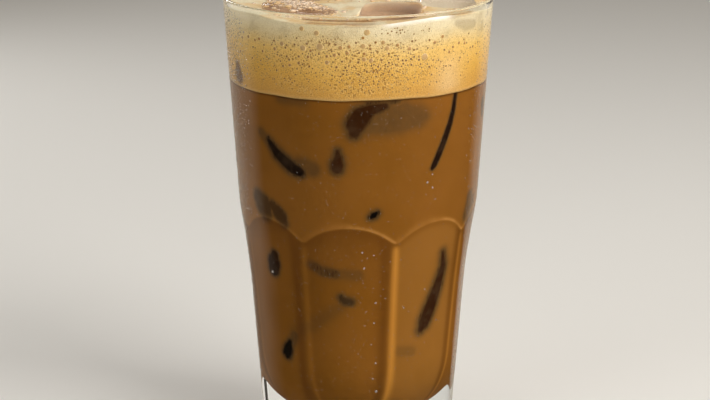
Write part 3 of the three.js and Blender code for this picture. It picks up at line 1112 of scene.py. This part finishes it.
# %% Foam finish
def foam_finish():
    finish = Finish("coffee foam")
    split = finish.tree.nodes.new("ShaderNodeSeparateXYZ")
    finish.feed(split.inputs[0], finish.place)
    height = Wire(finish, split.outputs["Z"])
    drift = finish.noise(45.0, 3.0, 0.55) - 0.5
    level = (height / MM - FOAM_LEVEL) / (FOAM_TOP - FOAM_LEVEL) + drift * 0.4
    colour = finish.ramp(
        level,
        [
            (0.0, linear(212, 161, 78)),
            (0.35, linear(227, 181, 86)),
            (0.62, linear(238, 201, 118)),
            (0.82, linear(231, 211, 160)),
            (1.0, linear(234, 221, 186)),
        ],
    )
    patch = finish.noise(120.0, 4.0, 0.6).above(0.5, 0.68) * level.above(0.55, 0.85)

    def pins(scale, share, radius):
        """Round pin bubbles, as the cut through a scatter of balls: their insides and their rims"""
        gap = finish.cells(scale)
        draw = finish.node("ShaderNodeSeparateColor", {}, {0: finish.cells(scale, "Color")})
        size = (draw - (1 - share)).above(0.0, share) * radius + 0.001
        reach = gap / size
        return 1.0 - reach.above(0.55, 1.0), reach.above(0.9, 1.05) - reach.above(1.15, 1.6)

    banded = (1.0 - ((level - 0.46) * 2.2) ** 2.0).above(0.0, 0.6)
    crowd = banded * finish.attribute("crowd") * finish.noise(60.0).above(0.25, 0.5)
    fine, fine_rim = pins(1450.0, 0.85, 0.52)
    small, small_rim = pins(850.0, 0.7, 0.46)
    pin = fine.math("MAXIMUM", fine, small) * crowd
    rim = fine_rim.math("MAXIMUM", fine_rim, small_rim) * crowd
    gold = finish.noise(75.0, 4.0, 0.6).above(0.42, 0.62) * finish.attribute("top")
    froth = finish.cells(2500.0)
    colour = finish.tinted(
        colour,
        (patch * 0.5, (196, 178, 140)),
        (rim * 0.4, (246, 216, 146)),
        (pin * 0.72, (134, 88, 34)),
        (finish.attribute("cream") * 0.5, (240, 214, 164)),
        (finish.attribute("edge") * 0.45, (238, 206, 142)),
        (gold * 0.7, (222, 174, 100)),
        # Painted shade in the sockets under the standing ice, in the ice's pinkish grey
        (finish.attribute("socket") * 0.85, (204, 170, 140)),
        # Painted highlight under the right cube
        (finish.attribute("pale") * 0.75, (212, 206, 188)),
        (finish.attribute("ice") * 0.85, (80, 50, 42)),
        ((1.0 - froth.above(0.1, 0.6)) * (crowd * 0.34 + 0.26), (162, 110, 46)),
        # Painted highlight along the foam's upper edge at the wall
        (finish.attribute("gleam") * 0.8, (255, 250, 240)),
    )
    return finish.surface(
        Base_Color=colour,
        Roughness=0.6,
        IOR=1.33,
        Normal=finish.bump(froth * 0.5 - pin, 0.4, 0.0004),
    )


foam.data.materials.append(foam_finish())
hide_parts("foam")
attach(foam, "root")

# %% [markdown]
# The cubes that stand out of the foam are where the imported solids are. Each is a finer melted cube
# of the same size, place and turn.

# %% Standing ice
STANDING_MELT = 0.16
STANDING_CUTS = 15
FIRST_STANDING_SEED = 40


def ice_finish():
    finish = Finish("clear wet ice")
    waves = finish.noise(90.0, 2.0)
    cloud = finish.noise(130.0, 3.0)
    return finish.surface(
        Base_Color=finish.ramp(cloud, [(0.35, (0.97, 0.95, 0.93)), (0.65, (0.88, 0.82, 0.77))]),
        Roughness=0.06,
        IOR=1.31,
        Transmission_Weight=1.0,
        Normal=finish.bump(waves, 0.3, 0.002),
    )


def add_standing_ice(material):
    for seed, (node, (place, size, turn)) in enumerate(STANDING_ICE.items()):
        cube = melted_cube("melted_" + node, size, STANDING_MELT, STANDING_CUTS, FIRST_STANDING_SEED + seed)
        write_points(cube, read_points(cube) @ turn_of(turn).T + np.array(place))
        cube.data.materials.append(material)
        cube.visible_shadow = False
        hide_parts(node)
        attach(cube, "root")


add_standing_ice(ice_finish())

# %% [markdown]
# Pin bubbles, surface bubbles and water drops are all small domes, hundreds of each. Placing them
# one by one with operators would take minutes, so their points are worked out as arrays and each
# kind is one mesh. A seeded draw keeps the scatter the same every time.

# %% Many small domes as one mesh
DOME_ROOT = 0.3
PATCH_SIZE = 2


def scattered_domes(name, places, outward, sizes, lifts, sides=7, rings=2):
    """Places in mm, outward directions, and the domes' radii and heights in mm"""
    upright = np.abs(outward[:, 2:]) > 0.9
    across = np.cross(np.where(upright, (0.0, 1.0, 0.0), (0.0, 0.0, 1.0)), outward)
    across /= np.linalg.norm(across, axis=1)[:, None]
    along = np.cross(outward, across)
    rise = np.linspace(0, math.pi / 2, rings + 1)[:-1]
    around = np.linspace(0, 2 * math.pi, sides, endpoint=False)
    local = [(0.0, 0.0, 1.0)]
    for tilt in rise:
        lift = math.sin(tilt) if tilt > 0 else -DOME_ROOT
        local += [(math.cos(tilt) * math.cos(a), math.cos(tilt) * math.sin(a), lift) for a in around]
    local = np.array(local)
    scale = np.stack([sizes, sizes, lifts], axis=1)
    frames = np.stack([across, along, outward], axis=1) * scale[:, :, None]
    points = places[:, None, :] + np.einsum("vk,nkc->nvc", local, frames)
    faces = [tuple(range(sides, 0, -1))]
    for ring in range(rings):
        first = 1 + ring * sides
        crown = ring == rings - 1
        for i in range(sides):
            here, after = first + i, first + (i + 1) % sides
            faces.append((here, after, 0) if crown else (here, after, after + sides, here + sides))
    count = len(local)
    every = [tuple(i + count * n for i in face) for n in range(len(places)) for face in faces]
    mesh = bpy.data.meshes.new(name)
    mesh.from_pydata((points.reshape(-1, 3) * MM).tolist(), [], every)
    mesh.shade_smooth()
    piece = bpy.data.objects.new(name, mesh)
    bpy.context.collection.objects.link(piece)
    crest = np.tile(np.clip(local[:, 2], 0, 1), len(places))
    keep_numbers(piece, crest=crest, size=np.repeat(sizes, count))
    print(f"{name}: {len(places)}")
    return piece


def at_wall(angle, z, radius):
    """Places and outward directions on an upright wall of a given radius"""
    outward = np.stack([np.sin(angle), -np.cos(angle), np.zeros(len(angle))], axis=1)
    places = outward * radius[:, None]
    places[:, 2] = z
    return places, outward


def spread_out(rows, gap):
    """Drops each row whose first two columns, in mm, come too near an earlier one"""
    kept = []
    cells = {}
    for row in rows:
        cell = (int(row[0] // PATCH_SIZE), int(row[1] // PATCH_SIZE))
        near = [
            other
            for i in (-1, 0, 1)
            for j in (-1, 0, 1)
            for other in cells.get((cell[0] + i, cell[1] + j), ())
        ]
        if any(math.hypot(row[0] - o[0], row[1] - o[1]) < gap * (row[2] + o[2]) for o in near):
            continue
        cells.setdefault(cell, []).append(row)
        kept.append(row)
    return np.array(kept)


# %% Pin bubbles in the foam, against the glass
WALL_BUBBLES = (
    # angle, height and radius of the larger ones that the picture shows
    (-16.2, 144.2, 1.3), (-13.2, 144.4, 1.7), (-23.8, 143.4, 1.1), (-7.4, 144.0, 0.8), (-3.8, 144.4, 0.7),
    (2.0, 144.6, 1.0), (-4.6, 142.3, 0.7), (12.2, 143.8, 0.9), (16.6, 144.6, 0.7), (10.4, 145.6, 0.8),
    (3.6, 149.0, 1.1), (6.4, 148.2, 1.2), (2.0, 147.2, 0.6), (-13.3, 139.2, 0.8), (-30.6, 137.4, 0.6),
    (-26.1, 138.3, 0.6), (29.4, 140.2, 1.2), (27.0, 139.8, 0.6), (42.4, 140.6, 0.6), (-21.6, 140.6, 0.6),
    (-34.0, 144.0, 0.9), (-38.0, 142.0, 0.7), (2.4, 140.4, 0.8), (5.4, 140.0, 0.8), (-10.0, 141.6, 0.7),
    (22.0, 143.2, 0.8), (38.0, 146.0, 0.7), (-24.0, 149.5, 0.9), (-17.5, 148.4, 1.0), (48.0, 143.0, 0.6),
)
PIN_COUNT = 2300
PIN_SEED = 12
PIN_GAP = 1.15
PIN_WALL = inner_radius(140.0)
PIN_HEIGHTS = (FOAM_LEVEL + 1.5, 138.0, 147.0)
FRONT_SHARE = 0.55
FRONT_WIDTH = 0.62 * CROWD_WIDTH
SMALL_PINS_POWER = 2.2
LEAST_PIN = 0.15
PIN_ROOT = 0.02
MOST_PIN_LIFT = 0.16
LARGEST_PIN_HEIGHTS = [129.0, 136.0, 144.0, 148.0]
LARGEST_PINS = [0.28, 0.42, 0.75, 0.4]
# Dark specks near the rim, and larger bubbles on the side that the picture doesn't show
SPECK_COUNT = 26
SPECK_ANGLES, SPECK_HEIGHTS, SPECK_SIZES = (6, 31), (147.6, 150.2), (0.16, 0.36)
UNSEEN_COUNT = 40
UNSEEN_TURNS, UNSEEN_HEIGHTS, UNSEEN_SIZES = (1.3, 5.0), (135, 144, 150), (0.5, 1.3)


def pin_rows():
    draw = np.random.default_rng(PIN_SEED)
    front = draw.normal(CROWD_MIDDLE, FRONT_WIDTH, round(PIN_COUNT * FRONT_SHARE))
    around = draw.uniform(-math.pi, math.pi, PIN_COUNT - len(front))
    angle = np.concatenate([front, around])
    z = draw.triangular(*PIN_HEIGHTS, PIN_COUNT)
    largest = np.interp(z, LARGEST_PIN_HEIGHTS, LARGEST_PINS)
    size = LEAST_PIN + (largest - LEAST_PIN) * draw.random(PIN_COUNT) ** SMALL_PINS_POWER
    pins = [angle * PIN_WALL, z, size]
    specks = [
        np.radians(draw.uniform(*SPECK_ANGLES, SPECK_COUNT)) * PIN_WALL,
        draw.uniform(*SPECK_HEIGHTS, SPECK_COUNT),
        draw.uniform(*SPECK_SIZES, SPECK_COUNT),
    ]
    unseen = [
        draw.uniform(*UNSEEN_TURNS, UNSEEN_COUNT) * PIN_WALL,
        draw.triangular(*UNSEEN_HEIGHTS, UNSEEN_COUNT),
        draw.uniform(*UNSEEN_SIZES, UNSEEN_COUNT),
    ]
    large = [(math.radians(a) * PIN_WALL, z, size) for a, z, size in WALL_BUBBLES]
    others = [np.stack(columns, axis=1) for columns in (unseen, specks, pins)]
    rows = spread_out(np.concatenate([large, *others]), PIN_GAP)
    rows[:, 0] /= PIN_WALL
    return rows


def add_pins():
    rows = pin_rows()
    places, outward = at_wall(rows[:, 0], rows[:, 1], inner_radius(rows[:, 1]) + FOAM_REACH - PIN_ROOT)
    lifts = np.minimum(0.25 * rows[:, 2], MOST_PIN_LIFT)
    return scattered_domes("pin_bubbles", places, outward, rows[:, 2], lifts, 11, 3)


# %% Finish of the pin bubbles
def pin_finish():
    finish = Finish("pin bubbles")
    size = finish.attribute("size")
    middle = finish.ramp(
        size,
        [
            (0.15, linear(112, 76, 30)),
            (0.4, linear(114, 74, 27)),
            (0.62, linear(164, 120, 62)),
            (0.95, linear(190, 156, 104)),
        ],
    )
    crest = finish.attribute("crest")
    colour = finish.mix(crest.above(0.25, 0.85), linear(250, 222, 162), middle)
    return finish.surface(Base_Color=colour, Roughness=0.4)


pins = add_pins()
pins.data.materials.append(pin_finish())
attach(pins, "root")

# %% [markdown]
# Larger bubbles ride on the foam. Most of them crowd on the ice at the left, where foam has
# climbed onto it. Each is a pinkish dome with a dark middle, since a bubble's crown lets the eye in.

# %% Height of the foam or the ice at a place
def top_at(x, y):
    """Height in mm of whatever is on top there, foam or ice"""
    best = 0.0
    for piece in [foam] + [bpy.data.objects["melted_" + node] for node in STANDING_ICE]:
        hit, place, _, _ = piece.ray_cast(Vector((x, y, 170)) * MM, (0, 0, -1))
        if hit:
            best = max(best, place.z / MM)
    return best


# %% Where the bubbles lie
BUBBLE_SEED = 7
LEAST_BARE_SHARE = 0.02
WALL_MARGIN = 0.3
BUBBLE_GAP = 0.8
BUBBLE_LIFT = 0.55
LARGEST_BUBBLE = (-25.5, -3.5, 1.7)
BUBBLE_GROUPS = (
    # middle x, middle y, reach x, reach y, how many, least and largest radius
    (-20.5, -12.5, 9.0, 10.5, 620, 0.35, 1.25),
    (-19.5, -24.5, 9.5, 5.5, 360, 0.35, 1.2),
    (-11.5, -16.5, 5.0, 8.0, 420, 0.25, 0.7),
    (4.0, 4.0, 9.0, 6.0, 30, 0.4, 1.2),
    (-3.0, -30.0, 8.0, 5.0, 26, 0.3, 0.9),
    (22.0, -22.0, 7.0, 5.0, 30, 0.3, 0.9),
    (31.0, -17.0, 3.0, 4.0, 12, 0.6, 1.5),
    (0.0, 0.0, 36.0, 36.0, 160, 0.25, 1.0),
)


def surface_bubble_rows():
    draw = np.random.default_rng(BUBBLE_SEED)
    rows = [LARGEST_BUBBLE]
    for x, y, reach_x, reach_y, count, least, largest in BUBBLE_GROUPS:
        for _ in range(count):
            turn = draw.uniform(0, 2 * math.pi)
            off = math.sqrt(draw.random())
            size = least + (largest - least) * draw.random() ** 2
            rows.append((x + reach_x * off * math.cos(turn), y + reach_y * off * math.sin(turn), size))
    rows = np.array(rows)
    bare = {node: float(node != "ice_left") for node in STANDING_ICE}
    places = np.stack([rows[:, 0], rows[:, 1], np.full(len(rows), FOAM_TOP)], axis=1)
    on_bare_ice = socket_share(places, bare) > LEAST_BARE_SHARE
    inside = radius_of(rows) + rows[:, 2] < inner_radius(FOAM_TOP) - WALL_MARGIN
    return spread_out(rows[inside & ~on_bare_ice], BUBBLE_GAP)


# %% Bubbles on the foam and the ice
def add_surface_bubbles():
    rows = surface_bubble_rows()
    places = np.array([(x, y, top_at(x, y)) for x, y, _ in rows])
    outward = np.tile((0.0, 0.0, 1.0), (len(rows), 1))
    sizes = rows[:, 2]
    return scattered_domes("surface_bubbles", places, outward, sizes, BUBBLE_LIFT * sizes, 12, 4)


def bubble_finish():
    finish = Finish("foam bubbles")
    crest = finish.attribute("crest")
    tint = finish.noise(160.0, 2.0).above(0.35, 0.65)
    rim = finish.mix(tint, linear(234, 208, 178), linear(226, 188, 132))
    colour = finish.mix(crest.above(0.7, 1.0) * 0.8, rim, linear(132, 82, 44))
    return finish.surface(Base_Color=colour, Roughness=0.2, Coat_Weight=0.6)


bubbles = add_surface_bubbles()
bubbles.data.materials.append(bubble_finish())
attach(bubbles, "root")

# %% [markdown]
# A cold glass is misted. Fine drops lie thick where the picture shows haze, along both sides, and
# a few larger drops stand on the front. They follow the outer form and sit just in the glass.

# %% Condensation
LARGE_DROPS = (
    # angle, height and radius
    (2.0, 77.0, 0.35), (4.5, 75.0, 0.2), (7.5, 76.0, 0.25), (3.0, 71.5, 0.35), (9.0, 59.5, 0.35),
    (8.3, 52.5, 0.3), (7.0, 45.0, 0.25), (9.5, 38.5, 0.3), (8.0, 33.0, 0.3), (10.0, 28.5, 0.45),
    (33.0, 99.0, 0.4), (35.5, 101.5, 0.3), (36.0, 97.0, 0.35), (32.5, 95.0, 0.2),
    (38.0, 93.0, 0.25), (37.0, 62.0, 0.3), (24.0, 57.0, 0.3), (27.0, 55.5, 0.2), (47.0, 50.0, 0.3),
    (-14.0, 93.0, 0.2), (-17.0, 100.0, 0.2), (21.0, 74.0, 0.2), (-50.2, 66.3, 0.6),
)
# How the fine drops lie: from angle, most likely angle, to angle, from and to height, count, largest
MIST = (
    (-82, -70, -54, 127, 151, 620, 0.42),
    (-100, -76, -54, 84, 150, 1700, 0.32),
    (-104, -84, -68, 28, 84, 1300, 0.38),
    (58, 82, 104, 84, 150, 900, 0.28),
    (62, 76, 106, 26, 84, 1900, 0.3),
    (-52, 0, 56, 28, 150, 700, 0.15),
    (100, 180, 262, 28, 150, 1400, 0.3),
)
DROP_SEED = 21
DROP_GAP = 1.05
DROP_LIFT = 0.38
LEAST_DROP = 0.08
DROP_WALL = 40.0


def drop_rows():
    draw = np.random.default_rng(DROP_SEED)
    rows = [(math.radians(a) * DROP_WALL, z, size) for a, z, size in LARGE_DROPS]
    for start, likely, stop, low, high, count, largest in MIST:
        for _ in range(count):
            angle = math.radians(draw.triangular(start, likely, stop))
            rows.append((angle * DROP_WALL, draw.uniform(low, high), draw.uniform(LEAST_DROP, largest)))
    rows = spread_out(rows, DROP_GAP)
    rows[:, 0] /= DROP_WALL
    return rows


def add_drops():
    angle, z, sizes = drop_rows().T
    places, outward = at_wall(angle, z, outer_radius(angle, z))
    return scattered_domes("water_drops", places, outward, sizes, DROP_LIFT * sizes)


def drop_finish():
    finish = Finish("water drops")
    return finish.surface(
        Base_Color=(0.88, 0.83, 0.76), Roughness=0.05, IOR=1.33, Transmission_Weight=0.84
    )


drops = add_drops()
drops.data.materials.append(drop_finish())
drops.visible_shadow = False
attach(drops, "root")
